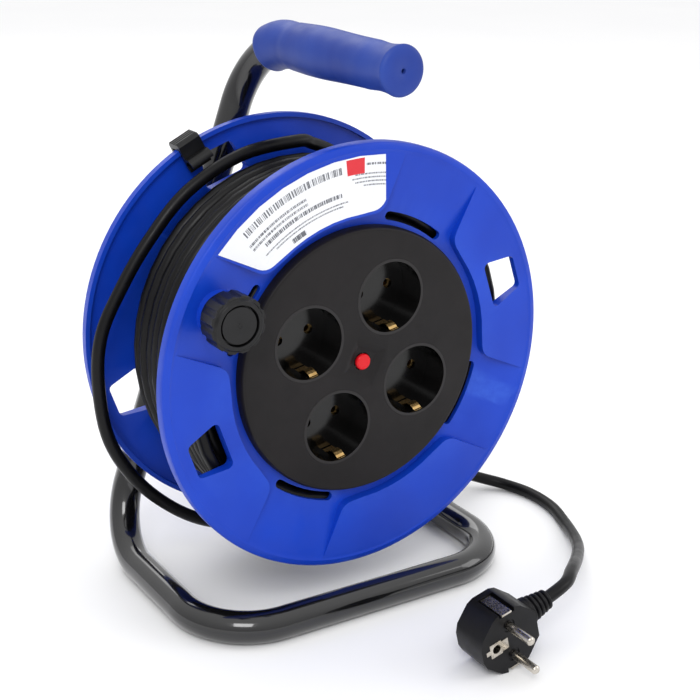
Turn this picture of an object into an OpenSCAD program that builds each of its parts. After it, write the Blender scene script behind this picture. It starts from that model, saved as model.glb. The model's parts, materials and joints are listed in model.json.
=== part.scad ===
// Extension cord reel with four earthed sockets, a bent-tube stand and a hand grip.
// Units are millimetres. +Z is up, +X is to the right and the sockets face -Y.
// The origin is on the floor, below the middle of the drum.

/* [Drum] */
// Diameter of the two flanges
flange_d = 240; // [236:1:244]
// Width of the drum over its flanges
drum_w = 104; // [102:0.5:106]
// Height of the drum's axis above the floor
axis_h = 144; // [143:0.5:150]
// Wall of the moulded flanges and core
wall = 2.6; // [2.2:0.1:3]
// Outer diameter of the core that the cable is wound on
core_d = 144; // [142:1:145]
// How far the web dips below the rim at the core
web_dip = 7; // [6:0.5:8]
// Direction of the first raised pad, from +X
pad_angle = 20; // [15:1:25]

/* [Sockets] */
// Diameter of the black socket panel
panel_d = 150; // [149:0.5:152]
// Distance of each socket from the drum's axis
socket_ring_r = 38.2; // [38:0.1:39]
// Inner diameter of a socket well
well_d = 39.4; // [39:0.1:40]
// Depth of a socket well
well_depth = 17.5; // [17:0.5:18]
// Distance between the two pin holes
pin_pitch = 19; // [19]
// Slope of the line through the pin holes
pin_slope = 12; // [8:1:16]
// Diameter of the reset button
button_d = 9; // [8:0.5:10]
// Travel of the reset button
button_travel = 2.5; // [2:0.5:3]

/* [Winding knob] */
// Distance of the knob from the drum's axis
knob_ring_r = 97; // [96:0.5:98]
// Diameter of the knob
knob_d = 30; // [28:1:31]
// How far the knob stands in front of the rim
knob_reach = 22; // [20:1:24]

/* [Stand] */
// Diameter of the stand's tube
tube_d = 18; // [18]
// Wall of the stand's tube
tube_wall = 1.5; // [1.2:0.1:1.8]
// Radius of the tube's bends, at its axis
bend_r = 40; // [38:1:42]
// Height of the grip's axis above the floor
grip_h = 303.5; // [300:0.5:306]
// Half the width between the two floor tubes
foot_half_w = 98; // [97:0.5:99]
// Distance of the upright behind the drum's middle
upright_y = 70; // [69.5:0.5:71]
// Distance of the front floor tube before the drum's middle
foot_front_y = 67; // [66:0.5:68]

/* [Cable] */
// Diameter of the cable
cord_d = 7.4; // [7:0.1:7.6]
// Outer diameter of the winding
winding_d = 202; // [198:1:204]

/* [Hidden] */
$fn = 64;

// Clearances
press_gap = 0.05;      // between pieces of one body that fit into each other
run_gap = 0.06;        // radial play of a turning fit
side_gap = 0.4;        // play beside a turning or sliding piece

// Flanges, in the drum's own frame: z points to the sockets, x to the right, y up
half_w = drum_w / 2;
rim_r = flange_d / 2;
rim_t = 7;             // depth of the rolled rim
core_r = core_d / 2;
panel_r = panel_d / 2;
web_in_r = core_r - 6; // edge of the flange's large centre hole
web_out_r = rim_r - 7;
pad_lift = 0.7;        // pads lie this far behind the rim's crest
pad_r = [81, 83, 97, 115];
pad_half = [18, 27, 29.5, 32];
pad_step = 90;
window_r = [90.5, 110];
window_half = [9.3, 5.2];
slot_r = 80;
slot_w = 5;
slot_half = 12.5;
slot_angle = pad_angle + 45;

// Sockets
panel_t = 7;
panel_skin = 3;
insert_wall = 1.6;
insert_floor = 3;
well_r = well_d / 2;
insert_r = well_r + insert_wall;
pin_hole_r = 2.75;
clip_w = 7;            // earth clips
clip_t = 1;
clip_h = 13;
sleeve_r = 2.6;
sleeve_l = 12;
recess_w = 22;         // shallow square recess around the button, at the panel's face
recess_floor_w = 13;
recess_deep = 2.2;
button_t = 2.4;
stem_r = 3;
housing_w = 16;        // thermal cut-out behind the button
housing_deep = 5;      // its front behind the panel's face

// Hub
axle_r = 8;
hub_r = 13.5;
washer_t = 1.5;
washer_r = 14;
bracket_t = 4;
collar_t = 2;
bracket_y = upright_y - tube_d / 2 - bracket_t;
hub_front_y = 0;       // ends of the hub sleeve
hub_back_y = bracket_y - collar_t - washer_t - side_gap;

// Winding knob
knob_at = knob_ring_r * [cos(slot_angle + 90), sin(slot_angle + 90)];
boss_r = [13.5, 9.5];
boss_foot = half_w - 7.6;
boss_top = half_w + 4;
knob_front = half_w + knob_reach;
knob_r = knob_d / 2;
knob_pin_r = 3.5;
knob_lobes = 12;

// Stand
tube_r = tube_d / 2;
foot_z = tube_r;
foot_back_y = 56;
grip_front_y = -79;
grip_wall_end = 4;     // closed front end of the grip
lean = atan(foot_half_w / (grip_h - foot_z));
upright_l = norm([foot_half_w, grip_h - foot_z]);
// Upright tube, in its own leaning frame, and foot tube
upright_path = [[0, grip_front_y + grip_wall_end, 0], [0, upright_y, 0],
                [0, upright_y, -upright_l], [0, 0, -upright_l]];
foot_path = [[-foot_half_w, 0, foot_z], [-foot_half_w, -foot_front_y, foot_z],
             [foot_half_w, -foot_front_y, foot_z], [foot_half_w, foot_back_y, foot_z]];
spigot_l = 18;
upright_x = (axis_h - grip_h) * tan(lean);
grip_len = upright_y - bend_r - grip_front_y;
grip_wrap = 27;        // degrees of the first bend that the grip covers
grip_end_r = 13.2;

// Cable
cord_r = cord_d / 2;
cord_sides = 10;
cord_steps = 2;
gland_angle = 200;
gland_z = -30;
// Route of the loose end: over the winding, under the drum, over the right foot, to the plug
cord_route = [
    [4, 28, 250.4], [-32, 28, 245.6], [-65.5, 28, 228.2], [-90, 28, 202], [-107, 28, 176.5],
    [-117.5, 28, 155], [-120.5, 28, 130], [-116.5, 28, 97], [-104, 28, 71], [-85, 28, 49],
    [-61, 28, 31.5], [-32, 29, 20.5], [2, 30, 15.5], [36, 32, 15.2], [68, 34, 18.8],
    [98, 35.5, 22], [118, 36, 20.5], [136, 35, 14.5], [153, 30, 8], [166, 19, 4.5],
    [172.5, 1, 3.8], [171.5, -22, 3.8], [163, -45, 4.2], [150, -68, 8], [134, -89, 13.5],
    [116, -107.5, 20.5], [101, -121.5, 26.5], [88, -133, 31], [75, -143, 32], [59.4, -146, 28.55]];

// Plug, which lies on the rim of its round head with its pins towards -Y
plug_at = [26, -158, 19.6];
plug_tilt = 15;        // slope of its cable exit
plug_r = 19.5;
plug_deep = 22;
plug_pin_r = 2.4;
plug_pin_l = 19;
plug_shank_r = 2;      // the pin's shank inside the body
pin_ring_r = 3.8;      // shallow ring around each pin
pin_ring_deep = 0.6;
earth_x = -10;         // earth contact, away from the cable
relief_start = 12;
relief_neck = 8;       // length inside the body
relief_l = 22.4;
relief_deep = 12;

// ---- Plain helpers ----

function unit(v) = v / norm(v);
function polar(r, a) = r * [cos(a), sin(a)];

// Points of an arc that rounds the corner at b to radius r
function corner(a, b, c, r, n = 4) =
    let (u = unit(a - b), v = unit(c - b),
         h = acos(u * v) / 2,
         m = b + unit(u + v) * r / sin(h),
         p = b + u * r / tan(h) - m,
         q = b + v * r / tan(h) - m,
         t = atan2(p[1], p[0]),
         sweep = (atan2(q[1], q[0]) - t + 540) % 360 - 180)
    [for (i = [0:n]) m + polar(r, t + sweep * i / n)];

// A closed outline with every corner rounded to radius r
function rounded(pts, r, n = 4) =
    let (k = len(pts))
    [for (i = [0:k - 1]) each corner(pts[(i + k - 1) % k], pts[i], pts[(i + 1) % k], r, n)];

// The drum's frame: its z axis points towards the sockets
module on_drum() translate([0, 0, axis_h]) rotate([90, 0, 0]) children();

// Moves children to socket i, with the line through its pin holes along x
module at_socket(i)
    translate(concat(polar(socket_ring_r, slot_angle + 90 * (i - 1)), half_w))
        rotate([0, 0, pin_slope]) children();

// Moves children to the two pin holes of a socket
module at_pins() for (s = [-1, 1]) translate([s * pin_pitch / 2, 0, 0]) children();

// Points local z along v
module along(v) rotate([0, acos(v[2] / norm(v)), atan2(v[1], v[0])]) children();

// Frame of a right-angled bend: x to its start, y along the travel, origin at its centre
module at_bend(path, i, bend) {
    u = unit(path[i] - path[i - 1]);
    v = unit(path[i + 1] - path[i]);
    c = path[i] - bend * u + bend * v;
    w = cross(u, v);
    multmatrix([[-v[0], u[0], w[0], c[0]],
                [-v[1], u[1], w[1], c[1]],
                [-v[2], u[2], w[2], c[2]],
                [0, 0, 0, 1]]) children();
}

// Round tube along a path whose corners are right angles
module bent_tube(path, r_out, r_in, bend) {
    last = len(path) - 1;
    for (i = [0:last - 1]) {
        u = unit(path[i + 1] - path[i]);
        from = i == 0 ? 0 : bend;
        to = norm(path[i + 1] - path[i]) - (i == last - 1 ? 0 : bend);
        translate(path[i] + from * u) along(u) linear_extrude(to - from) ring(r_out, r_in);
    }
    for (i = [1:last - 1])
        at_bend(path, i, bend) rotate_extrude(angle = 90) translate([bend, 0]) ring(r_out, r_in);
}

module ring(r_out, r_in)
    difference() {
        circle(r_out);
        circle(r_in);
    }

// ---- Flanges and core ----

// Outline of a raised pad, as a sector with rounded inner corners; past lets it run into the rim
function pad_outline(shrink = 0, past = 0) =
    let (a = [for (h = pad_half) h - shrink / 1.6],
         in_r = pad_r[0] + shrink,
         out_r = pad_r[3] - shrink + past)
    concat(
        [for (t = [-a[0]:6:a[0]]) polar(in_r, t)],
        corner(polar(in_r, a[0]), polar(pad_r[1] + shrink, a[1]), polar(pad_r[2], a[2]), 9),
        [for (t = [a[3]:-8:-a[3]]) polar(out_r, t)],
        corner(polar(pad_r[2], -a[2]), polar(pad_r[1] + shrink, -a[1]), polar(in_r, -a[0]), 9));

module window_outline()
    polygon(rounded([polar(window_r[0], -window_half[0]), polar(window_r[1], -window_half[1]),
                     polar(window_r[1], window_half[1]), polar(window_r[0], window_half[0])], 3));

// Section of the dished web and rolled rim; z is 0 at the rim's crest and falls inwards
module web_section()
    polygon([[web_in_r, -web_dip], [panel_r + 1, -web_dip], [web_out_r, -1.2],
             [rim_r - 4, 0], [rim_r - 1.6, -0.5], [rim_r - 0.5, -1.3], [rim_r, -2.8], [rim_r, -rim_t],
             [rim_r - wall, -rim_t], [rim_r - wall, -1.6 - wall], [web_out_r, -1.6 - wall],
             [panel_r + 1, -web_dip - wall], [web_in_r, -web_dip - wall]]);

// The room between a pad's top and the middle of the web
module pad_room()
    rotate_extrude()
        polygon([[panel_r + 2, -pad_lift], [rim_r - 4.6, -pad_lift], [rim_r - 4.6, -1.6 - wall / 2],
                 [web_out_r, -1.6 - wall / 2], [panel_r + 2, -web_dip - wall / 2]]);

// Outline of a curved slot with round ends, centred on +X
function slot_outline() =
    let (r = slot_w / 2, a = slot_half)
    concat(
        [for (k = [-3:3]) polar(slot_r + r, a * k / 3)],
        [for (k = [1:4]) polar(slot_r, a) + polar(r, a + 36 * k)],
        [for (k = [3:-1:-3]) polar(slot_r - r, a * k / 3)],
        [for (k = [1:4]) polar(slot_r, -a) + polar(r, 180 - a + 36 * k)]);

module arc_slot(angle)
    translate([0, 0, -20]) rotate(angle) linear_extrude(22) polygon(slot_outline());

// A flange with its outer face up; windows lists the pads that have a window
module flange(windows) {
    difference() {
        union() {
            rotate_extrude() web_section();
            intersection() {
                for (i = [0:3])
                    translate([0, 0, -20]) rotate(pad_angle + i * pad_step)
                        linear_extrude(20) polygon(pad_outline(0, 3));
                pad_room();
            }
        }
        for (i = windows)
            translate([0, 0, -20]) rotate(pad_angle + i * pad_step) linear_extrude(21) window_outline();
        for (i = [0:3]) arc_slot(slot_angle + 90 * i);
    }
}

module front_flange() color("royalblue")
    on_drum() {
        difference() {
            union() {
                translate([0, 0, half_w]) flange([0, 2]);
                translate(concat(knob_at, boss_foot))
                    cylinder(r1 = boss_r[0], r2 = boss_r[1], h = boss_top - boss_foot);
            }
            translate(concat(knob_at, 0)) cylinder(r = knob_pin_r + press_gap, h = half_w + 20);
        }
    }

module rear_flange() color("royalblue")
    on_drum() mirror([0, 0, 1])
        difference() {
            union() {
                translate([0, 0, half_w]) flange([0, 1, 2, 3]);
                // hub disc, sleeve and ribs
                translate([0, 0, half_w - web_dip - wall]) cylinder(r = web_in_r + 1, h = wall);
                translate([0, 0, hub_front_y]) cylinder(r = hub_r, h = hub_back_y - hub_front_y);
                for (i = [0:7])
                    rotate((i + 0.5) * 45 + pad_angle) translate([hub_r - 1, -1, half_w - web_dip - 1])
                        cube([web_in_r - hub_r - 3, 2, 4]);
            }
            cylinder(r = axle_r + run_gap, h = 200, center = true);
            for (i = [0:3])
                rotate(slot_angle + 90 * i) translate([web_in_r - 8, 0, 0])
                    cylinder(r = 2 + press_gap, h = half_w);
        }

module drum_core() color("royalblue")
    on_drum() {
        inner_w = drum_w - 2 * (web_dip + wall);
        difference() {
            translate([0, 0, -inner_w / 2]) cylinder(r = core_r, h = inner_w);
            translate([0, 0, -inner_w / 2 - 1]) cylinder(r = core_r - wall, h = inner_w + 2);
            rotate(gland_angle) translate([core_r - 10, 0, gland_z]) rotate([0, 90, 0])
                cylinder(r = 6, h = 20);
        }
        // posts for the tie screws, joined to the core's wall
        for (i = [0:3]) rotate(slot_angle + 90 * i)
            difference() {
                translate([0, 0, 0.8 - inner_w / 2]) union() {
                    translate([web_in_r - 8, 0, 0]) cylinder(r = 4.5, h = 30);
                    translate([web_in_r - 8, -1.5, 0]) cube([core_r - wall / 2 - web_in_r + 8, 3, 30]);
                }
                translate([web_in_r - 8, 0, -inner_w / 2 - 1]) cylinder(r = 2 + press_gap, h = 23);
            }
    }

module tie_screw(i) color("silver")
    on_drum() rotate(slot_angle + 90 * (i - 1)) translate([web_in_r - 8, 0, -half_w + web_dip]) {
        cylinder(r = 2, h = 20);
        difference() {
            translate([0, 0, -2]) cylinder(r = 3.8, h = 2);
            for (a = [0, 90]) rotate(a) translate([-2.2, -0.5, -2.1]) cube([4.4, 1, 1.2]);
        }
    }

// ---- Sockets and thermal cut-out ----

module socket_panel() color([0.19, 0.17, 0.17])
    on_drum()
        difference() {
            translate([0, 0, half_w]) rotate_extrude()
                polygon([[0, 0], [panel_r - 2.5, 0], [panel_r - 1, -0.7], [panel_r, -2.5],
                         [panel_r, -panel_t], [panel_r - 2, -panel_t], [panel_r - 2, -panel_skin],
                         [0, -panel_skin]]);
            for (i = [1:4]) at_socket(i) translate([0, 0, -10]) cylinder(r = insert_r + press_gap, h = 20);
            // the recess reaches its full width at the face and goes on above it
            translate([0, 0, half_w - recess_deep]) rotate(slot_angle + 45)
                cylinder(r1 = recess_floor_w / sqrt(2), r2 = (2 * recess_w - recess_floor_w) / sqrt(2),
                         h = 2 * recess_deep, $fn = 4);
            cylinder(r = button_d / 2 + side_gap, h = 200);
        }

module socket_insert(i) color([0.07, 0.06, 0.06])
    on_drum() at_socket(i)
        difference() {
            union() {
                translate([0, 0, -well_depth - insert_floor])
                    cylinder(r = insert_r, h = well_depth + insert_floor);
                // chimneys behind the floor that hold the brass sleeves
                at_pins() translate([0, 0, -well_depth - insert_floor - sleeve_l])
                    cylinder(r = sleeve_r + 1.4, h = sleeve_l + 1);
            }
            translate([0, 0, -well_depth]) cylinder(r = well_r, h = well_depth + 1);
            at_pins() translate([0, 0, -well_depth - insert_floor - sleeve_l - 1])
                cylinder(r = pin_hole_r, h = sleeve_l + insert_floor + 2);
            // pockets in the wall for the earth clips
            for (s = [-1, 1]) translate([-clip_w / 2 - 0.2, s * (well_r + 0.55) - 0.75, -well_depth])
                cube([clip_w + 0.4, 1.5, clip_h + 0.4]);
        }

// Earth clips, shown pressed back flush with the well as they are with a plug in place
module earth_clips(i) color("gold")
    on_drum() at_socket(i)
        for (s = [-1, 1])
            translate([-clip_w / 2, s * (well_r + 0.75) - clip_t / 2, -well_depth + 0.1])
                cube([clip_w, clip_t - 0.1, clip_h]);

module pin_sleeves(i) color("gold")
    on_drum() at_socket(i) at_pins()
        translate([0, 0, -well_depth - insert_floor - sleeve_l])
            difference() {
                cylinder(r = sleeve_r, h = sleeve_l);
                translate([0, 0, -1]) cylinder(r = sleeve_r - 0.4, h = sleeve_l + 2);
            }

module cutout_housing() color([0.1, 0.1, 0.1])
    on_drum() rotate(slot_angle)
        difference() {
            union() {
                translate([-housing_w / 2, -housing_w / 2, half_w - 30])
                    cube([housing_w, housing_w, 30 - housing_deep]);
                translate([-housing_w / 2 - 2, -housing_w / 2, half_w - housing_deep - 1.5])
                    cube([housing_w + 4, housing_w, 1.5]);
            }
            translate([0, 0, half_w - 20]) cylinder(r = stem_r + run_gap, h = 30);
        }

module reset_button() color("red")
    on_drum() {
        translate([0, 0, half_w - button_t]) cylinder(r = button_d / 2, h = button_t - 0.8);
        translate([0, 0, half_w - 0.8]) cylinder(r1 = button_d / 2, r2 = button_d / 2 - 0.7, h = 0.8);
        translate([0, 0, half_w - 13]) cylinder(r = stem_r, h = 12);
    }

// ---- Winding knob ----

module knob_pin() color("silver")
    on_drum() translate(concat(knob_at, 0)) {
        translate([0, 0, boss_foot - 2]) cylinder(r = knob_pin_r, h = knob_front - boss_foot - 3);
        translate([0, 0, boss_foot - 2]) cylinder(r = 6, h = 2);
        translate([0, 0, knob_front - 7]) cylinder(r = 5.5, h = 2);
    }

module winding_knob() color([0.08, 0.08, 0.09])
    on_drum() translate(concat(knob_at, 0))
        difference() {
            z0 = boss_top + side_gap;
            union() {
                translate([0, 0, z0]) cylinder(r = knob_r - 2, h = knob_front - z0 - 0.8);
                translate([0, 0, z0 + 4])
                    linear_extrude(knob_front - z0 - 5.5) difference() {
                        circle(knob_r);
                        for (i = [0:knob_lobes - 1])
                            rotate(i * 360 / knob_lobes) translate([knob_r + 1.6, 0]) circle(2.6);
                    }
                translate([0, 0, knob_front - 2])
                    cylinder(r1 = knob_r - 1.2, r2 = knob_r - 2.4, h = 2);
            }
            cylinder(r = knob_pin_r + run_gap, h = 200);
            translate([0, 0, knob_front - 7 - side_gap]) cylinder(r = 6.2, h = 20);
            translate([0, 0, knob_front - 4]) cylinder(r = knob_r - 4.4, h = 20);
        }

module knob_cap() color([0.12, 0.12, 0.13])
    on_drum() translate(concat(knob_at, knob_front - 4))
        difference() {
            cylinder(r = knob_r - 5.4, h = 3.4);
            translate([0, 0, 3]) cylinder(r1 = 1, r2 = 2, h = 1);
        }

// ---- Small drum pieces ----

module label_sticker() color("white")
    on_drum() translate([0, 0, half_w - pad_lift]) rotate(pad_angle + 90)
        linear_extrude(0.3) polygon(pad_outline(1.6));

// Clip over the rear rim that parks the cable's end
module cable_clip() color([0.06, 0.06, 0.06])
    on_drum() rotate(pad_angle + 97.5) translate([0, 7, 0]) rotate([90, 0, 0])
        linear_extrude(14) {
            z_out = -half_w - 0.4;
            z_in = -half_w + rim_t + 0.3;
            top = rim_r + 0.4;
            difference() {
                polygon([[108, z_out - 2.4], [top + 1.6, z_out - 2.4], [top + 3.6, z_out - 0.6],
                         [top + 3.6, z_in + 1], [top + 1.8, z_in + 2.6], [112, z_in + 2.6],
                         [112, z_in], [top, z_in], [top, z_out], [108, z_out]]);
                for (i = [0:3]) translate([top + 4, z_out + 0.6 + 2.4 * i]) circle(r = 0.9, $fn = 24);
            }
            // open loop for the cable
            translate([110.4, z_in + 4.6]) difference() {
                circle(4.6);
                circle(3.2);
                translate([-8, -2]) square([8, 12]);
            }
        }

module cable_gland() color([0.06, 0.06, 0.06])
    on_drum() rotate(gland_angle) translate([core_r - wall - 3, 0, gland_z]) rotate([0, 90, 0])
        difference() {
            union() {
                cylinder(r = 6 - press_gap, h = wall + 3);
                cylinder(r = 8, h = 2.2);
            }
            translate([0, 0, -1]) cylinder(r = cord_r + 0.1, h = wall + 10);
        }

module cable_winding() color([0.05, 0.05, 0.05])
    on_drum() {
        inner_w = drum_w - 2 * (web_dip + wall) - 1;
        rotate_extrude()
            translate([core_r + 0.1, -inner_w / 2]) square([winding_d / 2 - core_r - 0.1, inner_w]);
    }

// ---- Axle ----

module axle_bracket() color([0.06, 0.06, 0.06])
    translate([0, bracket_y + bracket_t, axis_h]) rotate([90, 0, 0])
        difference() {
            linear_extrude(bracket_t) {
                circle(22);
                translate([upright_x, 0]) circle(16);
                polygon([[0, 22], [upright_x, 16], [upright_x, -16], [0, -22]]);
            }
            translate([0, 0, -1]) cylinder(r = axle_r + press_gap, h = bracket_t + 2);
        }

module axle() color("silver")
    translate([0, 0, axis_h]) rotate([-90, 0, 0])
        difference() {
            union() {
                translate([0, 0, hub_front_y - side_gap])
                    cylinder(r = axle_r, h = bracket_y + bracket_t + 8 - hub_front_y + side_gap);
                translate([0, 0, bracket_y - collar_t]) cylinder(r = 11, h = collar_t);
            }
            translate([0, 0, -5]) cylinder(r = 3 + press_gap, h = 25);
        }

module hex_prism(across, h) cylinder(r = across / sqrt(3), h = h, $fn = 6);

module axle_nut() color("silver")
    translate([0, bracket_y + bracket_t, axis_h]) rotate([-90, 0, 0])
        difference() {
            hex_prism(22, 7);
            translate([0, 0, -1]) cylinder(r = axle_r + press_gap, h = 10);
        }

// Plain washer between the hub and the axle's collar
module thrust_washer() color("silver")
    translate([0, bracket_y - collar_t - washer_t, axis_h]) rotate([-90, 0, 0])
        difference() {
            cylinder(r = washer_r, h = washer_t);
            translate([0, 0, -1]) cylinder(r = axle_r + press_gap, h = 10);
        }

module retaining_washer() color("silver")
    translate([0, hub_front_y - side_gap - washer_t, axis_h]) rotate([-90, 0, 0])
        difference() {
            cylinder(r = washer_r, h = washer_t);
            translate([0, 0, -1]) cylinder(r = 3 + press_gap, h = 10);
        }

module retaining_bolt() color("silver")
    translate([0, hub_front_y - side_gap - washer_t, axis_h]) rotate([-90, 0, 0]) {
        cylinder(r = 3, h = 18);
        translate([0, 0, -4]) hex_prism(10, 4);
    }

// ---- Stand ----

// The leaning frame of the upright: its origin is on the grip's axis
module on_upright() translate([0, 0, grip_h]) rotate([0, lean, 0]) children();

module upright_tube() color([0.05, 0.05, 0.05])
    on_upright() bent_tube(upright_path, tube_r, tube_r - tube_wall, bend_r);

module foot_tube() color([0.05, 0.05, 0.05]) {
    bent_tube(foot_path, tube_r, tube_r - tube_wall, bend_r);
    // swaged end inside the upright tube
    translate(foot_path[0] - [0, 3, 0]) rotate([-90, 0, 0]) linear_extrude(spigot_l + 3)
        ring(tube_r - tube_wall - press_gap, tube_r - 2 * tube_wall - press_gap);
    translate(foot_path[0] - [0, 3, 0]) rotate([-90, 0, 0]) linear_extrude(3)
        ring(tube_r - 0.5, tube_r - 2 * tube_wall - press_gap);
}

module tube_end_cap() color([0.1, 0.1, 0.1])
    translate(foot_path[3]) rotate([-90, 0, 0]) {
        cylinder(r1 = tube_r, r2 = tube_r - 1, h = 3);
        translate([0, 0, -12]) cylinder(r = tube_r - tube_wall - press_gap, h = 12);
    }

// Half-width of the grip at distance s from its front end
function grip_r(s) = 12.9 - 0.9 * sin(180 * min(s, 24) / 24 - 20) + 1.1 * exp(-pow((s - 76) / 26, 2));

module handle_grip() color("royalblue")
    on_upright() {
        bore = tube_r + press_gap;
        translate([0, grip_front_y, 0]) rotate([-90, 0, 0]) rotate_extrude()
            polygon(concat([[1.5, grip_wall_end], [1.5, 0], [11.6, 0], [12.8, 0.8]],
                           [for (s = [3:6:grip_len - 1]) [grip_r(s), s]],
                           [[grip_end_r, grip_len], [bore, grip_len], [bore, grip_wall_end]]));
        at_bend(upright_path, 1, bend_r)
            rotate_extrude(angle = grip_wrap) translate([bend_r, 0]) ring(grip_end_r, bore);
    }

// ---- Free cord and plug ----

// Catmull-Rom curve through the route's points
function spline(a, b, c, d, t) =
    0.5 * (2 * b + (c - a) * t + (2 * a - 5 * b + 4 * c - d) * t * t + (3 * b - a - 3 * c + d) * t * t * t);
function smooth_route(p, steps) =
    let (n = len(p) - 1)
    concat([for (i = [0:n - 1], k = [0:steps - 1])
                spline(p[max(i - 1, 0)], p[i], p[i + 1], p[min(i + 2, n)], k / steps)],
           [p[n]]);
function tangents(p) =
    let (n = len(p) - 1) [for (i = [0:n]) unit(p[min(i + 1, n)] - p[max(i - 1, 0)])];
// Side vectors carried along the route without twist
function carried(t, u, i = 0) =
    i == len(t) ? [] : let (v = unit(u - (u * t[i]) * t[i])) concat([v], carried(t, v, i + 1));

module swept_cord(route, r, sides) {
    p = smooth_route(route, cord_steps);
    t = tangents(p);
    u = carried(t, [0, 1, 0]);
    n = len(p);
    points = [for (i = [0:n - 1], k = [0:sides - 1])
        p[i] + r * (cos(360 * k / sides) * u[i] + sin(360 * k / sides) * cross(t[i], u[i]))];
    sides_faces = [for (i = [0:n - 2], k = [0:sides - 1])
        let (a = i * sides + k, b = i * sides + (k + 1) % sides)
        each [[a, b, b + sides], [a, b + sides, a + sides]]];
    caps = [[for (k = [sides - 1:-1:0]) k], [for (k = [0:sides - 1]) (n - 1) * sides + k]];
    polyhedron(points, concat(sides_faces, caps), convexity = 8);
}

module free_cord() color([0.05, 0.05, 0.05]) swept_cord(cord_route, cord_r, cord_sides);

// The plug's frame: z along its pins, x towards its cable
module on_plug() translate(plug_at) rotate([90, 0, 0]) rotate(plug_tilt) children();

// Outline of the plug's head: a round cut to flats, with its tail away from the cable
function plug_outline(r) = [for (a = [24, 62, 74, 106, 118, 152, 168]) polar(r, a),
                            for (a = [168, 152, 118, 106, 74, 62, 24]) polar(r, -a)];

module plug_body() color([0.14, 0.14, 0.17])
    on_plug()
        difference() {
            union() {
                translate([0, 0, -plug_deep]) linear_extrude(plug_deep) polygon(plug_outline(plug_r));
                // cable outlet
                translate([0, 0, -relief_deep]) rotate([0, 90, 0]) cylinder(r = 8, h = relief_start + relief_neck);
            }
            // grooves on both sides for the earth clips and a socket's keys
            for (s = [-1, 1]) translate([-5, s * plug_r - 3, -plug_deep + 4]) cube([10, 6, plug_deep]);
            for (s = [-1, 1]) translate([0, s * pin_pitch / 2, 0]) {
                translate([0, 0, -10]) cylinder(r = plug_shank_r + press_gap, h = 20);
                translate([0, 0, -pin_ring_deep]) cylinder(r = pin_ring_r, h = 5);
            }
            translate([earth_x, 0, -16]) cylinder(r = 3.3, h = 20);
            translate([0, 0, -relief_deep]) rotate([0, 90, 0])
                translate([0, 0, relief_start - 1]) cylinder(r = 5 + press_gap, h = 20);
        }

module strain_relief() color([0.1, 0.1, 0.12])
    on_plug() translate([0, 0, -relief_deep]) rotate([0, 90, 0]) {
        translate([0, 0, relief_start]) cylinder(r = 5, h = relief_neck + 1);
        translate([0, 0, relief_start + relief_neck]) cylinder(r1 = 7.2, r2 = 5, h = relief_l - relief_neck);
    }

module plug_pin(i) color("silver")
    on_plug() translate([0, (2 * i - 3) * pin_pitch / 2, 0]) {
        translate([0, 0, -8]) cylinder(r = plug_shank_r, h = 9);
        cylinder(r = plug_pin_r, h = plug_pin_l - 1);
        translate([0, 0, plug_pin_l - 1]) cylinder(r1 = plug_pin_r, r2 = 1.4, h = 1);
    }

// Earth contact: a tube with a stamped plate on the plug's face
module plug_earth_socket() color("silver")
    on_plug() translate([earth_x, 0, -15])
        difference() {
            union() {
                cylinder(r = 3.2, h = 15.2);
                translate([0, 0, 15]) linear_extrude(0.3)
                    polygon([[-6.6, -1.3], [-4, -1.3], [-4, -4.2], [3.4, -4.2], [3.4, -3.2], [7.7, -3.2],
                             [7.7, 3.2], [3.4, 3.2], [3.4, 4.2], [-4, 4.2], [-4, 1.3], [-6.6, 1.3]]);
            }
            translate([0, 0, 1]) cylinder(r = 2.5, h = 20);
        }

module plug_earth_clips() color("gold")
    on_plug() for (s = [-1, 1])
        translate([-3.2, s * (plug_r - 2.2) - 0.6, -plug_deep + 4.2]) cube([6.4, 1.2, plug_deep - 4]);

// ---- Assembly ----

upright_tube();
foot_tube();
tube_end_cap();
handle_grip();
axle_bracket();
axle();
axle_nut();
thrust_washer();
retaining_washer();
retaining_bolt();
front_flange();
rear_flange();
drum_core();
socket_panel();
for (i = [1:4]) {
    socket_insert(i);
    earth_clips(i);
    pin_sleeves(i);
    tie_screw(i);
}
cutout_housing();
reset_button();
knob_pin();
winding_knob();
knob_cap();
label_sticker();
cable_clip();
cable_gland();
cable_winding();
free_cord();
strain_relief();
plug_body();
for (i = [1:2])
    plug_pin(i);
plug_earth_socket();
plug_earth_clips();
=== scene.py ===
import json
import math

import bmesh
import bpy
from mathutils import Matrix, Vector

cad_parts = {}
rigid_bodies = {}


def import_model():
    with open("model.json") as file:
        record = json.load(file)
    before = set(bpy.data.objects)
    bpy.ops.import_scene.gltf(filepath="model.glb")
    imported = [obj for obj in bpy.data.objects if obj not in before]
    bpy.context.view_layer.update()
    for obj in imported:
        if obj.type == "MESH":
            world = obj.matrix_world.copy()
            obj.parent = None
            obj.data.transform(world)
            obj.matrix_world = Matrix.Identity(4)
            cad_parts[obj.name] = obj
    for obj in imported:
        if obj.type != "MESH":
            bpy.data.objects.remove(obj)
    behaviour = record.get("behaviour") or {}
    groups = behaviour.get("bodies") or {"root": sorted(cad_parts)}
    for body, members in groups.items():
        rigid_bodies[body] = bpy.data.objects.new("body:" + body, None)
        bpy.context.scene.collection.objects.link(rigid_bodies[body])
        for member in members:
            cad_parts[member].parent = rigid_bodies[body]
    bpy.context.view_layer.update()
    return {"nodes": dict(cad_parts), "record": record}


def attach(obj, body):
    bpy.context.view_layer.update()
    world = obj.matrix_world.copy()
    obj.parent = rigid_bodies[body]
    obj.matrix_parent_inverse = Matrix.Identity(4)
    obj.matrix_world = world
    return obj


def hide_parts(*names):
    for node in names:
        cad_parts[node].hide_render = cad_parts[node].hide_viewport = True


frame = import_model()
nodes = frame["nodes"]
scene = bpy.context.scene

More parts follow.
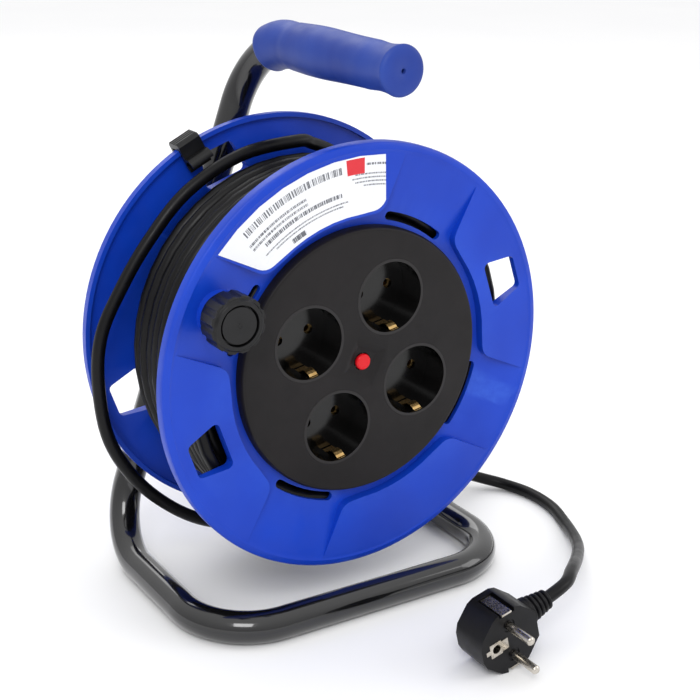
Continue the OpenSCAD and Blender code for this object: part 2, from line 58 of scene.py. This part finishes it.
# ---------------------------------------------------------------- dimensions, in metres, as the CAD has them
MM = 0.001
AXIS_H = 144 * MM
HALF_W = 52 * MM
CORD_R = 3.7 * MM
GRIP_H = 303.5 * MM
GRIP_FRONT_Y = -79 * MM
UPRIGHT_Y = 70 * MM
BEND_R = 40 * MM
LEAN = math.atan2(98, 294.5)
PLUG_AT = Vector((26, -158, 19.6)) * MM
PLUG_TILT = math.radians(15)
RELIEF_DEEP = 12 * MM
SLOT_ANGLE = 65
SOCKET_RING_R = 38.2 * MM
WELL_R = 19.7 * MM
PIN_SLOPE = 12
LABEL_ANGLE = 110


def clear_default_scene():
    """Removes the default lights and camera."""
    for o in list(scene.objects):
        if o.type in {"LIGHT", "CAMERA"}:
            bpy.data.objects.remove(o, do_unlink=True)


clear_default_scene()

# ---------------------------------------------------------------- camera
camera = bpy.data.objects.new("camera", bpy.data.cameras.new("camera"))
scene.collection.objects.link(camera)
camera.data.lens = 71.27
camera.data.sensor_width = 36
camera.data.clip_start = 0.01
camera.data.clip_end = 50
camera.matrix_world = Matrix((
    (0.84003152, 0.16044565, -0.51827042, -0.3939),
    (-0.54197383, 0.29170314, -0.7881457, -0.63664),
    (0.02472656, 0.94295624, 0.33199718, 0.39902),
    (0, 0, 0, 1)))
scene.camera = camera

# ---------------------------------------------------------------- node helpers


def linear(r, g, b):
    """Linear colour of an 8-bit display colour."""
    def channel(c):
        c /= 255
        return c / 12.92 if c <= 0.04045 else ((c + 0.055) / 1.055) ** 2.4
    return (channel(r), channel(g), channel(b), 1)


class Nodes:
    """A material under construction: its tree and its main shader."""

    def __init__(self, name):
        self.mat = bpy.data.materials.new(name)
        self.mat.use_nodes = True
        self.tree = self.mat.node_tree
        self.shader = self.tree.nodes["Principled BSDF"]
        self.coords = self.add("ShaderNodeTexCoord").outputs["Object"]

    def add(self, kind, **values):
        node = self.tree.nodes.new(kind)
        for key, value in values.items():
            setattr(node, key, value)
        return node

    def link(self, a, b):
        self.tree.links.new(a, b)

    def set(self, **values):
        for key, value in values.items():
            self.shader.inputs[key.replace("_", " ")].default_value = value

    def noise(self, scale, detail=4, rough=0.5, stretch=(1, 1, 1)):
        """Noise from 0 to 1 at so many cells a metre."""
        mapping = self.add("ShaderNodeMapping")
        mapping.inputs["Scale"].default_value = stretch
        self.link(self.coords, mapping.inputs["Vector"])
        tex = self.add("ShaderNodeTexNoise")
        tex.inputs["Scale"].default_value = scale
        tex.inputs["Detail"].default_value = detail
        tex.inputs["Roughness"].default_value = rough
        self.link(mapping.outputs["Vector"], tex.inputs["Vector"])
        return tex.outputs["Fac"]

    def math(self, op, a, b=None):
        node = self.add("ShaderNodeMath", operation=op)
        for socket, value in zip(node.inputs, (a, b)):
            if value is None:
                continue
            if isinstance(value, (int, float)):
                socket.default_value = value
            else:
                self.link(value, socket)
        return node.outputs[0]

    def remap(self, value, a, b, c, d):
        node = self.add("ShaderNodeMapRange")
        for socket, v in zip(node.inputs[1:5], (a, b, c, d)):
            socket.default_value = v
        self.link(value, node.inputs[0])
        return node.outputs[0]

    def mix(self, fac, a, b):
        node = self.add("ShaderNodeMix", data_type="RGBA")
        for socket, value in ((node.inputs[0], fac), (node.inputs[6], a), (node.inputs[7], b)):
            if isinstance(value, (int, float, tuple)):
                socket.default_value = value
            else:
                self.link(value, socket)
        return node.outputs[2]

    def worn_edges(self, amount):
        """1 on sharp outer edges, 0 elsewhere, broken up by noise."""
        point = self.add("ShaderNodeNewGeometry").outputs["Pointiness"]
        edge = self.remap(point, 0.52, 0.6, 0, amount)
        return self.math("MULTIPLY", edge, self.noise(260, 3))

    def bump(self, height, strength, distance):
        node = self.add("ShaderNodeBump")
        node.inputs["Strength"].default_value = strength
        node.inputs["Distance"].default_value = distance
        self.link(height, node.inputs["Height"])
        self.link(node.outputs["Normal"], self.shader.inputs["Normal"])


def moulded(name, colour, shade, rough, grain=1400, depth=0.02 * MM, spread=0.08, wear=0.25,
            worn=None, coat=0.0, specular=0.3):
    """A moulded plastic or a paint: colour drifts to a second shade, edges are rubbed paler, and the gloss
    varies. Colours are 8-bit; grain is the bump's cells a metre."""
    n = Nodes(name)
    drift = n.remap(n.noise(22, 3), 0.3, 0.7, 0, 1)
    base = n.mix(drift, linear(*colour), linear(*shade))
    if wear:
        rubbed = worn or [min(255, c + 60) for c in colour]
        base = n.mix(n.worn_edges(wear), base, linear(*rubbed))
    n.link(base, n.shader.inputs["Base Color"])
    gloss = n.remap(n.noise(90, 5, 0.6), 0.3, 0.7, rough - spread, rough + spread)
    n.link(gloss, n.shader.inputs["Roughness"])
    n.bump(n.noise(grain, 3), 0.5, depth)
    n.set(Specular_IOR_Level=specular)
    if coat:
        n.set(Coat_Weight=coat, Coat_Roughness=0.06)
    return n.mat


def metal(name, colour, shade, rough):
    """Plated or bare metal with fine scratches and dull spots."""
    n = Nodes(name)
    n.set(Metallic=1.0)
    spots = n.remap(n.noise(160, 5, 0.65), 0.35, 0.75, 0, 1)
    n.link(n.mix(spots, linear(*colour), linear(*shade)), n.shader.inputs["Base Color"])
    n.link(n.remap(n.noise(500, 4, 0.7, (1, 1, 8)), 0.3, 0.7, rough - 0.08, rough + 0.12),
           n.shader.inputs["Roughness"])
    n.bump(n.noise(900, 2, 0.5, (1, 1, 6)), 0.2, 0.004 * MM)
    return n.mat


def label_print():
    """The label: pale film with rows of grey dashes and a plain red bar, on arcs round the drum."""
    n = Nodes("label_film")
    split = n.add("ShaderNodeSeparateXYZ")
    n.link(n.coords, split.inputs[0])
    x = split.outputs["X"]
    z = n.math("SUBTRACT", split.outputs["Z"], AXIS_H)
    r = n.math("POWER", n.math("ADD", n.math("MULTIPLY", x, x), n.math("MULTIPLY", z, z)), 0.5)
    angle = n.math("MULTIPLY", n.math("ARCTAN2", z, x), 180 / math.pi)
    across = n.math("SUBTRACT", angle, LABEL_ANGLE)

    def between(value, low, high):
        return n.math("MULTIPLY", n.math("GREATER_THAN", value, low), n.math("LESS_THAN", value, high))

    def dashes(pitch, seed, fill):
        cell = n.add("ShaderNodeTexNoise", noise_dimensions="1D")
        n.link(n.math("ADD", n.math("MULTIPLY", across, pitch), seed), cell.inputs["W"])
        cell.inputs["Scale"].default_value = 1.0
        cell.inputs["Detail"].default_value = 2
        return n.math("LESS_THAN", cell.outputs["Fac"], fill)

    # low and high radius in mm, first and last angle from the label's middle, dashes a degree, seed, fill
    ink = None
    rows = [(105.8, 109.6, -11, 23, 2.2, 3, 0.5), (100.5, 102.0, 2, 24, 3.4, 11, 0.53),
            (97.8, 99.2, 2, 24, 3.4, 17, 0.52), (94.0, 96.2, -10, 20, 2.4, 23, 0.55),
            (90.6, 91.4, -12, 22, 5, 31, 0.54), (88.8, 89.6, -10, 18, 5, 37, 0.54),
            (84.4, 87.2, 6, 12, 2, 41, 0.6), (108.2, 109.4, -27, -19, 3, 43, 0.54),
            (103.4, 104.2, -27, -15, 5, 47, 0.54), (101.4, 102.2, -27, -14, 5, 53, 0.54),
            (99.4, 100.2, -27, -15, 5, 59, 0.54), (97.4, 98.2, -27, -18, 5, 61, 0.54)]
    for low, high, a, b, pitch, seed, fill in rows:
        row = n.math("MULTIPLY", between(r, low * MM, high * MM), between(across, a, b))
        row = n.math("MULTIPLY", row, dashes(pitch, seed, fill))
        ink = row if ink is None else n.math("MAXIMUM", ink, row)
    bar = n.math("MULTIPLY", between(r, 104.2 * MM, 112.4 * MM), between(across, -18.4, -12.6))
    film = n.mix(n.noise(40, 3), linear(234, 235, 238), linear(222, 224, 229))
    printed = n.mix(ink, film, linear(92, 94, 100))
    n.link(n.mix(bar, printed, linear(208, 30, 44)), n.shader.inputs["Base Color"])
    n.link(n.remap(n.noise(120, 4), 0.3, 0.7, 0.24, 0.36), n.shader.inputs["Roughness"])
    n.bump(n.noise(300, 3), 0.25, 0.03 * MM)
    return n.mat


MATERIALS = {
    "blue_moulding": moulded("blue_polypropylene", (12, 62, 186), (8, 53, 170), 0.38, 1500, 0.02 * MM,
                             wear=0.35, worn=(70, 118, 222)),
    "grip_blue": moulded("grip_soft_blue", (37, 68, 156), (24, 50, 132), 0.5, 900, 0.06 * MM, wear=0.2,
                         worn=(80, 112, 190)),
    "tube_black": moulded("tube_enamel", (10, 10, 12), (7, 7, 8), 0.2, 260, 0.015 * MM, 0.04,
                          wear=0.1, coat=1.0, specular=0.3),
    "panel_black": moulded("panel_plastic", (25, 22, 23), (19, 17, 18), 0.46, 1700, 0.03 * MM, wear=0.15,
                           specular=0.2),
    # insert_black is painted shade: the insides of the socket wells are coloured near black, darker than the
    # panel plastic, to stand in for the shade that falls in them
    "insert_black": moulded("socket_plastic_painted_shade", (8, 7, 7), (5, 5, 5), 0.16, 700, 0.008 * MM, 0.04, wear=0.05,
                            specular=0.4),
    "knob_black": moulded("knob_plastic", (17, 17, 19), (11, 11, 12), 0.36, 1500, 0.03 * MM, wear=0.15),
    "cable_black": moulded("cable_sheath", (8, 7, 9), (5, 5, 6), 0.38, 800, 0.03 * MM, wear=0.05,
                           specular=0.2),
    "plug_black": moulded("plug_plastic", (12, 11, 15), (8, 8, 11), 0.42, 1300, 0.04 * MM, wear=0.1,
                          specular=0.22),
    "trim_black": moulded("trim_plastic", (14, 14, 15), (9, 9, 10), 0.36, 1300, 0.03 * MM, wear=0.15),
    "button_red": moulded("button_plastic", (222, 16, 30), (196, 10, 22), 0.3, 900, 0.01 * MM),
    "label_white": label_print(),
    "contact_brass": metal("brass", (226, 190, 128), (178, 138, 78), 0.28),
    "contact_nickel": metal("nickel", (206, 200, 190), (150, 144, 134), 0.24),
    "zinc_steel": metal("zinc_steel", (176, 178, 180), (128, 130, 134), 0.36),
}
slot_of = {s["node"]: s["material_slot"] for s in frame["record"]["subparts"]}


def socket_plastic_painted_shade():
    """Glossy black with painted shade inside the wells, which are coloured darker than the panel to stand in
    for the shade in them; the insert's front rim has the panel's finish, to lie flush in it.
    """
    mat = MATERIALS["insert_black"]
    tree = mat.node_tree
    shader = tree.nodes["Principled BSDF"]
    coords = tree.nodes.new("ShaderNodeTexCoord").outputs["Object"]
    split = tree.nodes.new("ShaderNodeSeparateXYZ")
    tree.links.new(coords, split.inputs[0])
    rim = tree.nodes.new("ShaderNodeMath")
    rim.operation = "LESS_THAN"
    tree.links.new(split.outputs["Y"], rim.inputs[0])
    rim.inputs[1].default_value = 0.05 * MM - HALF_W
    # Only the front rim gets the panel's colour; deeper in, the wells keep the darker colour, which is
    # painted shade
    for name, value in (("Base Color", linear(23, 20, 21)), ("Roughness", (0.46, 0.46, 0.46, 1))):
        link = shader.inputs[name].links[0]
        mix = tree.nodes.new("ShaderNodeMix")
        mix.data_type = "RGBA"
        tree.links.new(rim.outputs[0], mix.inputs[0])
        tree.links.new(link.from_socket, mix.inputs[6])
        mix.inputs[7].default_value = value
        tree.links.new(mix.outputs[2], shader.inputs[name])


socket_plastic_painted_shade()

# ---------------------------------------------------------------- CAD nodes: rounded edges and finish
# Width of each node's rounded edges, in mm
EDGE_ROUND = {
    "front_flange": 0.7, "rear_flange": 0.7, "drum_core": 0.3, "socket_panel": 0.15,
    "winding_knob": 0.7, "knob_cap": 0.5, "reset_button": 0.4, "cable_clip": 0.4,
    "plug_body": 1.1, "plug_pin_1": 0.2, "plug_pin_2": 0.2, "axle_bracket": 0.5,
    "axle_nut": 0.5, "tube_end_cap": 0.6, "label_sticker": 0.05, "plug_earth_clips": 0.2,
    "knob_pin": 0.3, "retaining_bolt": 0.3, "thrust_washer": 0.2, "retaining_washer": 0.2,
}
EDGE_ROUND.update({f"earth_clips_{i}": 0.15 for i in range(1, 5)})
EDGE_ROUND.update({f"tie_screw_{i}": 0.3 for i in range(1, 5)})


def round_edges(obj, width):
    """Softens a CAD node's sharp edges with modifiers, so its own mesh stays as it is."""
    weld = obj.modifiers.new("weld", "WELD")
    weld.merge_threshold = 2e-6
    flat = obj.modifiers.new("flat", "DECIMATE")
    flat.decimate_type = "DISSOLVE"
    flat.angle_limit = math.radians(0.6)
    bevel = obj.modifiers.new("edges", "BEVEL")
    bevel.width = width * MM
    bevel.segments = 2
    bevel.limit_method = "ANGLE"
    bevel.angle_limit = math.radians(32)
    bevel.use_clamp_overlap = True
    shade = obj.modifiers.new("shade", "WEIGHTED_NORMAL")
    shade.keep_sharp = False


for name, obj in nodes.items():
    for material_slot in obj.material_slots:
        material_slot.material = MATERIALS[slot_of[name]]
    if name in EDGE_ROUND:
        round_edges(obj, EDGE_ROUND[name])

# ---------------------------------------------------------------- mesh and curve helpers


def add_object(name, data, slot_name, body):
    obj = bpy.data.objects.new(name, data)
    scene.collection.objects.link(obj)
    data.materials.append(MATERIALS[slot_name])
    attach(obj, body)
    return obj


def cord_curve(name, points, body):
    """A round cord as one open spline through the points."""
    data = bpy.data.curves.new(name, "CURVE")
    data.dimensions = "3D"
    data.bevel_depth = CORD_R
    data.bevel_resolution = 3
    data.use_fill_caps = True
    spline = data.splines.new("POLY")
    spline.points.add(len(points) - 1)
    for p, q in zip(spline.points, points):
        p.co = (*q, 1)
    spline.use_smooth = True
    return add_object(name, data, "cable_black", body)


def catmull_rom(route, steps):
    """Points of a smooth curve through the route."""
    out = []
    last = len(route) - 1
    for i in range(last):
        a, b = route[max(i - 1, 0)], route[i]
        c, d = route[i + 1], route[min(i + 2, last)]
        for k in range(steps):
            t = k / steps
            out.append(0.5 * (2 * b + (c - a) * t + (2 * a - 5 * b + 4 * c - d) * t ** 2
                              + (3 * b - a - 3 * c + d) * t ** 3))
    return out + [route[-1]]


def loft(name, rings, sides, slot_name, body):
    """A closed smooth skin through rings of (centre, side, up, radius)."""
    mesh = bpy.data.meshes.new(name)
    bm = bmesh.new()
    loops = []
    for centre, side, up, radius in rings:
        loop = []
        for k in range(sides):
            a = 2 * math.pi * k / sides
            loop.append(bm.verts.new(centre + radius * (math.cos(a) * side + math.sin(a) * up)))
        loops.append(loop)
    for low, high in zip(loops, loops[1:]):
        for k in range(sides):
            m = (k + 1) % sides
            bm.faces.new((low[k], low[m], high[m], high[k]))
    bm.faces.new(list(reversed(loops[0])))
    bm.faces.new(loops[-1])
    bmesh.ops.recalc_face_normals(bm, faces=bm.faces)
    for face in bm.faces:
        face.smooth = True
    bm.to_mesh(mesh)
    bm.free()
    return add_object(name, mesh, slot_name, body)


# ---------------------------------------------------------------- cords: the winding and the loose end
# Radius of each layer's centreline, and the other lengths, in mm
WINDING_LAYERS = [75.9, 83.0, 90.1, 97.2]
TURNS_A_LAYER = 11
LAYER_HALF_W = 41
GLAND_ANGLE = 200
LAST_TURNS = 9 + (88 - 200 + 360) / 360
POINTS_A_TURN = 44
LAST_Y = 28


def smooth_step(t):
    t = min(max(t, 0), 1)
    return t * t * (3 - 2 * t)


def winding_points():
    """The wound cable, from the gland in the core to its last turn, whose end dips into the layer below."""
    points = []
    total = TURNS_A_LAYER * 3 + LAST_TURNS
    steps = int(total * POINTS_A_TURN)
    for i in range(steps + 1):
        turn = total * i / steps
        layer = min(int(turn / TURNS_A_LAYER), 3)
        part = turn - TURNS_A_LAYER * layer
        if layer < 3:
            y = LAYER_HALF_W * (1 - 2 * part / TURNS_A_LAYER) * (1, -1, 1)[layer]
            rise = smooth_step((part - TURNS_A_LAYER + 0.15) / 0.15)
            r = WINDING_LAYERS[layer] + rise * (WINDING_LAYERS[layer + 1] - WINDING_LAYERS[layer])
        else:
            y = -LAYER_HALF_W + (LAYER_HALF_W + LAST_Y) * part / LAST_TURNS
            dip = smooth_step((part - LAST_TURNS + 0.08) / 0.08)
            r = WINDING_LAYERS[3] + dip * (WINDING_LAYERS[2] - WINDING_LAYERS[3])
            y += 0.55 * math.sin(turn * 1.7) * (1 - dip)
            r += 0.35 * math.sin(turn * 2.3 + 1) * (1 - dip)
        a = math.radians(GLAND_ANGLE) + 2 * math.pi * turn
        points.append(Vector((r * math.cos(a), y, 144 + r * math.sin(a))) * MM)
    return points


wound = winding_points()
winding = cord_curve("wound_cable", wound, "drum")
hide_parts("cable_winding")

CORD_ROUTE = [
    (4, 28, 250.4), (-32, 28, 245.6), (-65.5, 28, 228.2), (-90, 28, 202), (-107, 28, 176.5),
    (-117.5, 28, 155), (-120.5, 28, 130), (-116.5, 28, 97), (-104, 28, 71), (-85, 28, 49),
    (-61, 28, 31.5), (-32, 29, 20.5), (2, 30, 15.5), (36, 32, 15.2), (68, 34, 18.8),
    (98, 35.5, 22), (118, 36, 20.5), (136, 35, 14.5), (153, 30, 8), (166, 19, 4.5),
    (172.5, 1, 3.8), (171.5, -22, 3.8), (163, -45, 4.2), (150, -68, 8), (134, -89, 13.5),
    (116, -107.5, 20.5), (101, -121.5, 26.5), (88, -133, 31), (75, -143, 32), (59.4, -146, 28.55)]
# The loose end first lies beside the last turn, so that it comes out of the winding at any drum angle:
# angle in degrees, radius and y in mm
EMERGING = [(5, 88, 35), (15, 92.6, 35), (25, 96.2, 35), (35, 97.4, 35), (45, 97.6, 35), (55, 98.2, 35),
            (65, 99.9, 35), (74, 102.6, 33.8), (81.5, 104.9, 31.2)]
loose_route = [(r * math.cos(math.radians(a)), y, 144 + r * math.sin(math.radians(a)))
               for a, r, y in EMERGING] + CORD_ROUTE
loose = catmull_rom([Vector(p) * MM for p in loose_route], 6)
free_cord = cord_curve("loose_cable", loose, "stand")
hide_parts("free_cord")

# ---------------------------------------------------------------- strain relief on the plug
plug_x = Vector((math.cos(PLUG_TILT), 0, math.sin(PLUG_TILT)))
plug_y = Vector((-math.sin(PLUG_TILT), 0, math.cos(PLUG_TILT)))
plug_z = Vector((0, -1, 0))


def relief_rings():
    """Collar, then ribs that shrink towards the cable."""
    start = PLUG_AT - RELIEF_DEEP * plug_z
    profile = [(12, 4.9), (19.6, 4.9), (19.8, 7.6), (21.6, 7.8), (22.0, 7.4)]
    for k in range(4):
        s, r = 22.6 + 3.0 * k, 7.1 - 0.5 * k
        profile += [(s, r - 1.9), (s + 0.7, r - 1.9), (s + 0.9, r - 0.2), (s + 1.2, r),
                    (s + 2.2, r), (s + 2.5, r - 0.2)]
    profile += [(34.2, 4.6), (34.4, 4.2)]
    return [(start + s * MM * plug_x, plug_y, plug_z, r * MM) for s, r in profile]


relief = loft("ribbed_relief", relief_rings(), 40, "plug_black", "stand")
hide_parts("strain_relief")

# ---------------------------------------------------------------- grip
lean_x = Vector((math.cos(LEAN), 0, -math.sin(LEAN)))
lean_z = Vector((math.sin(LEAN), 0, math.cos(LEAN)))
GRIP_L = UPRIGHT_Y - BEND_R - GRIP_FRONT_Y
GRIP_WRAP = 27


def grip_radius(s):
    """Radius of the grip in mm at s mm from its front end."""
    if s > 100:
        return 12.6 + 0.9 * smooth_step((s - 100) / 18)
    return (12.9 - 0.9 * math.sin(math.pi * min(s, 24) / 24 - math.radians(20))
            + 1.1 * math.exp(-((s - 76) / 26) ** 2))


def grip_rings():
    rings = []

    def straight(s, r):
        rings.append((Vector((0, GRIP_FRONT_Y + s * MM, GRIP_H)), lean_x, lean_z, r * MM))

    for s, r in ((5, 1.2), (0.3, 1.3), (0.0, 1.7), (0.0, 8.0), (0.1, 10.4), (0.5, 11.8), (1.3, 12.7),
                 (2.2, 13.1)):
        straight(s, r)
    length_mm = GRIP_L / MM
    count = 44
    for k in range(count + 1):
        s = 3 + (length_mm - 3) * k / count
        straight(s, grip_radius(s))
    centre = Vector((0, UPRIGHT_Y - BEND_R, GRIP_H)) - BEND_R * lean_z
    for k in range(1, 13):
        phi = math.radians(GRIP_WRAP) * k / 12
        out = math.sin(phi) * Vector((0, 1, 0)) + math.cos(phi) * lean_z
        s = length_mm + BEND_R / MM * phi
        r = grip_radius(s) - (0.5 if k == 12 else 0)
        rings.append((centre + BEND_R * out, lean_x, out, r * MM))
    rings.append((centre + BEND_R * out, lean_x, out, 11.6 * MM))
    rings.append((centre + BEND_R * out, lean_x, out, 9.1 * MM))
    return rings


grip = loft("soft_grip", grip_rings(), 56, "grip_blue", "stand")
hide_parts("handle_grip")


# ---------------------------------------------------------------- earth clips in the wells
def drum_point(x, y, z):
    """A point of the drum's frame, in mm, in the row frame: z points out of the sockets."""
    return Vector((x, -z, 144 + y)) * MM


def bent_clips(index):
    """Two sprung brass strips of one socket, which bow into the well."""
    middle = math.radians(SLOT_ANGLE + 90 * (index - 1))
    turn = math.radians(PIN_SLOPE)
    ring = SOCKET_RING_R / MM
    cx, cy = ring * math.cos(middle), ring * math.sin(middle)
    well = WELL_R / MM
    profile = [(-1.2, 0.3), (-2.2, 0.2), (-3.6, -0.9), (-5.4, -1.9), (-7.2, -2.2), (-9.0, -1.9),
               (-11.0, -0.9), (-13.0, 0.1), (-16.8, 0.25)]
    mesh = bpy.data.meshes.new(f"bent_clips_{index}")
    bm = bmesh.new()
    for side in (-1, 1):
        rows = []
        for depth, bow in profile:
            half = 2.5 if depth > -12 else 3.2
            row = []
            for u in (-half, half):
                for t in (0, 0.5):
                    v = side * (well + bow - t)
                    x = cx + u * math.cos(turn) - v * math.sin(turn)
                    y = cy + u * math.sin(turn) + v * math.cos(turn)
                    row.append(bm.verts.new(drum_point(x, y, HALF_W / MM + depth)))
            rows.append(row)
        for low, high in zip(rows, rows[1:]):
            for a, b in ((0, 1), (1, 3), (3, 2), (2, 0)):
                bm.faces.new((low[a], low[b], high[b], high[a]))
        for row in (rows[0], rows[-1]):
            bm.faces.new((row[0], row[1], row[3], row[2]))
    bmesh.ops.recalc_face_normals(bm, faces=bm.faces)
    bm.to_mesh(mesh)
    bm.free()
    clips = add_object(f"bent_clips_{index}", mesh, "contact_brass", "drum")
    bevel = clips.modifiers.new("edges", "BEVEL")
    bevel.width = 0.12 * MM
    bevel.segments = 2
    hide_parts(f"earth_clips_{index}")


for number in range(1, 5):
    bent_clips(number)


# ---------------------------------------------------------------- stage
def stage_floor():
    """A wide pale floor with a faint grain."""
    mesh = bpy.data.meshes.new("floor")
    bm = bmesh.new()
    bmesh.ops.create_grid(bm, x_segments=2, y_segments=2, size=14)
    bm.to_mesh(mesh)
    bm.free()
    floor = bpy.data.objects.new("floor", mesh)
    scene.collection.objects.link(floor)
    n = Nodes("pale_floor")
    grain = n.mix(n.noise(3, 2), linear(250, 250, 250), linear(246, 246, 247))
    n.link(grain, n.shader.inputs["Base Color"])
    n.set(Roughness=0.8, Specular_IOR_Level=0.2)
    mesh.materials.append(n.mat)


def area_light(name, place, size, power):
    light = bpy.data.lights.new(name, "AREA")
    light.shape = "SQUARE"
    light.size = size
    light.energy = power
    obj = bpy.data.objects.new(name, light)
    scene.collection.objects.link(obj)
    obj.location = place
    aim = Vector((0, 0, 0.14)) - Vector(place)
    obj.rotation_euler = aim.to_track_quat("-Z", "Y").to_euler()


stage_floor()
world = bpy.data.worlds.new("studio")
scene.world = world
world.use_nodes = True
sky = world.node_tree
ramp = sky.nodes.new("ShaderNodeValToRGB")
ramp.color_ramp.elements[0].color = (0.62, 0.62, 0.63, 1)
ramp.color_ramp.elements[1].color = (1.2, 1.2, 1.2, 1)
height = sky.nodes.new("ShaderNodeSeparateXYZ")
sky.links.new(sky.nodes.new("ShaderNodeTexCoord").outputs["Generated"], height.inputs[0])
sky.links.new(height.outputs["Z"], ramp.inputs[0])
sky.links.new(ramp.outputs[0], sky.nodes["Background"].inputs["Color"])
sky.nodes["Background"].inputs["Strength"].default_value = 1.0
area_light("key_light", (-1.1, -1.5, 1.7), 0.9, 20)
area_light("fill_light", (1.7, -1.1, 1.1), 1.0, 7)
area_light("back_light", (0.4, 1.6, 1.5), 1.2, 8)
scene.view_settings.view_transform = "Standard"
